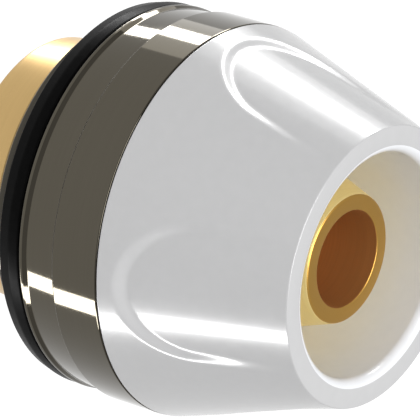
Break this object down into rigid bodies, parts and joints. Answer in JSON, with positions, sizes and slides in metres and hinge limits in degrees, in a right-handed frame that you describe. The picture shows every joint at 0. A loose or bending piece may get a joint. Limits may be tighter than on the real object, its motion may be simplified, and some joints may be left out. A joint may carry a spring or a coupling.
{
  "type": "hand-turned valve head",
  "caption": "Conical white handwheel with finger scoops on a nickel collar, with a hollow brass spindle inside and a plain brass neck behind.",
  "frame": {"origin": "centre of the rear face of the brass neck", "axes": "+Z along the turning axis, towards the open front; the stop pin is on +X"},
  "size_m": [0.044, 0.044, 0.0453],
  "materials": {
    "neck_brass": "fine turned",
    "dark_nickel": "polished dark nickel",
    "nickel": "polished nickel",
    "black_rubber": "smooth moulded",
    "fibre": "pressed fibre",
    "inner_brass": "turned",
    "steel": "plain",
    "nylon": "moulded",
    "white_plastic": "glossy moulded",
    "spindle_brass": "turned, end face faced off"
  },
  "bodies": {
    "body": {"neck": "neck_brass", "rear_flange": "dark_nickel", "seal_ring": "black_rubber", "carrier_plate": "dark_nickel", "collar": "nickel", "bonnet_gasket": "fibre", "bonnet": "inner_brass", "bonnet_screws": "steel", "spindle_bush": "inner_brass", "stop_pin": "steel", "thrust_washer": "nylon", "guide_ring": "steel"},
    "wheel": {"handwheel": "white_plastic", "spindle": "spindle_brass", "spline_sleeve": "inner_brass", "drive_dowel": "steel", "stop_ring": "steel", "spindle_circlip": "steel", "spindle_o_rings": "black_rubber"},
    "lift": {"plunger": "inner_brass", "pressure_pad": "steel"}
  },
  "joints": [
    {"name": "handwheel_turn", "type": "hinge", "parent": "body", "child": "wheel", "pos_m": [0, 0, 0], "axis": [0, 0, 1], "range_deg": [-150, 150]},
    {"name": "plunger_lift", "type": "slide", "parent": "body", "child": "lift", "axis": [0, 0, 1], "range_m": [-0.0016, 0.0016]}
  ],
  "couplings": [
    {"joint": "plunger_lift", "follows": "handwheel_turn", "m_per_rad": 0.0006}
  ]
}
